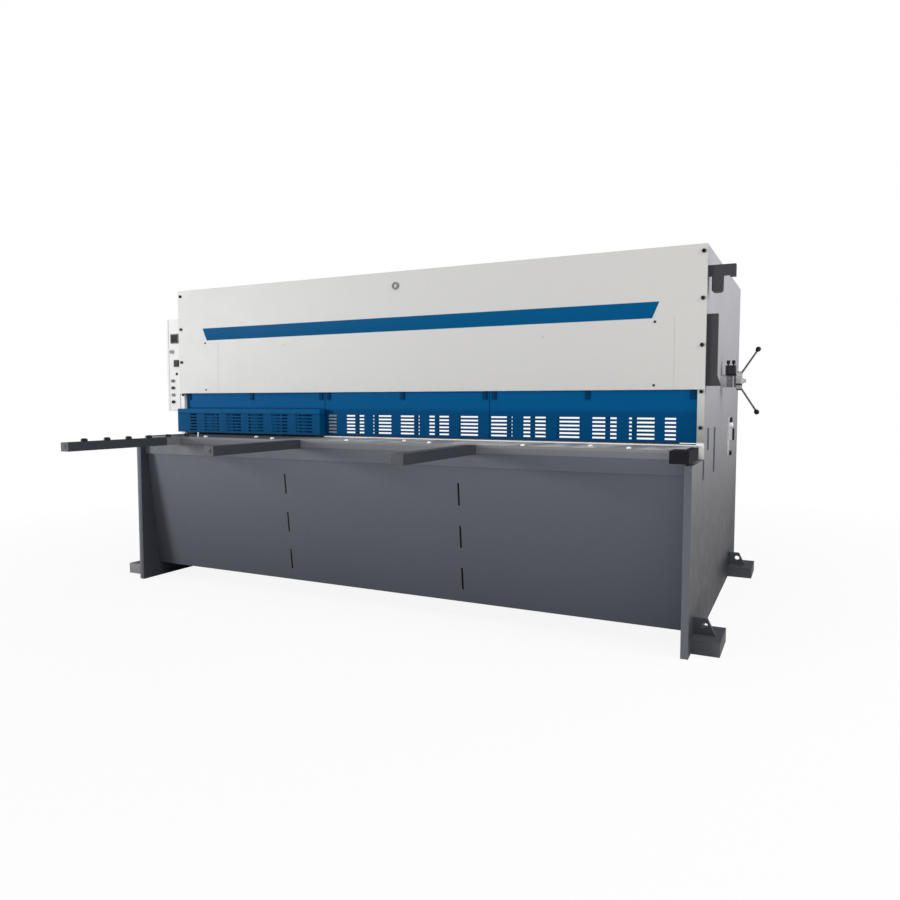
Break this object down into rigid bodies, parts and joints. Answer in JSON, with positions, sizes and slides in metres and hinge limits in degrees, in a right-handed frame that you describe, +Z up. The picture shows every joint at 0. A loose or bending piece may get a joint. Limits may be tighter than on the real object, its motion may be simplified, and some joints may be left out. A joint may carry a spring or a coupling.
{
  "type": "guillotine shear",
  "caption": "Hydraulic guillotine shear with a long table, slotted finger guard, support arms, control cabinet and a star lever that sets the blade gap.",
  "frame": {"origin": "centre of the four anchor bolt holes, at floor level", "axes": "+Z up, +X along the machine to the operator's right, +Y from the operator's side to the rear"},
  "size_m": [3.638, 2.767, 1.828],
  "materials": {
    "white_paint": "semi-gloss powder coat",
    "blue_paint": "semi-gloss powder coat",
    "plate_paint": "semi-gloss paint, pale above and grey below",
    "grey_paint": "satin textured paint",
    "dark_paint": "satin paint",
    "steel": "machined",
    "black_plastic": "moulded"
  },
  "bodies": {
    "machine": {"arm_stops": "black_plastic", "beam_pivots": "steel", "control_cabinet": "white_paint", "control_panel": "white_paint", "cover_boss": "white_paint", "foot_front_left": "dark_paint", "foot_front_right": "dark_paint", "foot_rear_left": "dark_paint", "foot_rear_right": "dark_paint", "front_apron": "grey_paint", "front_cover": "white_paint", "gauge_beam": "steel", "gauge_rails": "steel", "guard_panel_left": "blue_paint", "guard_panel_middle": "blue_paint", "guard_panel_right": "blue_paint", "guard_rail": "grey_paint", "guard_ribs": "blue_paint", "guard_tabs": "dark_paint", "head_tie_beam": "grey_paint", "hold_down_beam": "grey_paint", "hold_downs": "steel", "lever_block": "dark_paint", "lever_sleeve": "dark_paint", "lower_blade": "steel", "main_cylinders": "steel", "oil_tank": "grey_paint", "panel_buttons": "black_plastic", "panel_screen": "black_plastic", "rear_cross_beam": "grey_paint", "scale_bar": "steel", "sheet_slide": "grey_paint", "short_arm": "dark_paint", "side_hook": "dark_paint", "side_housing": "dark_paint", "side_latch": "dark_paint", "side_plate_left": "plate_paint", "side_plate_right": "plate_paint", "squaring_arm": "dark_paint", "support_arm_left": "dark_paint", "support_arm_right": "dark_paint", "swing_beam": "grey_paint", "table_balls": "steel", "table_beam": "grey_paint", "table_top": "steel", "table_web": "grey_paint", "top_cover": "white_paint", "upper_blade": "steel"},
    "gap_lever": {"lever_hub": "dark_paint", "lever_arms": "steel", "lever_knobs": "black_plastic"}
  },
  "joints": [
    {"name": "gap_lever_turn", "type": "hinge", "parent": "machine", "child": "gap_lever", "pos_m": [1.7, 0.026, 1.199], "axis": [1, 0, 0], "range_deg": [-90, 90]}
  ]
}
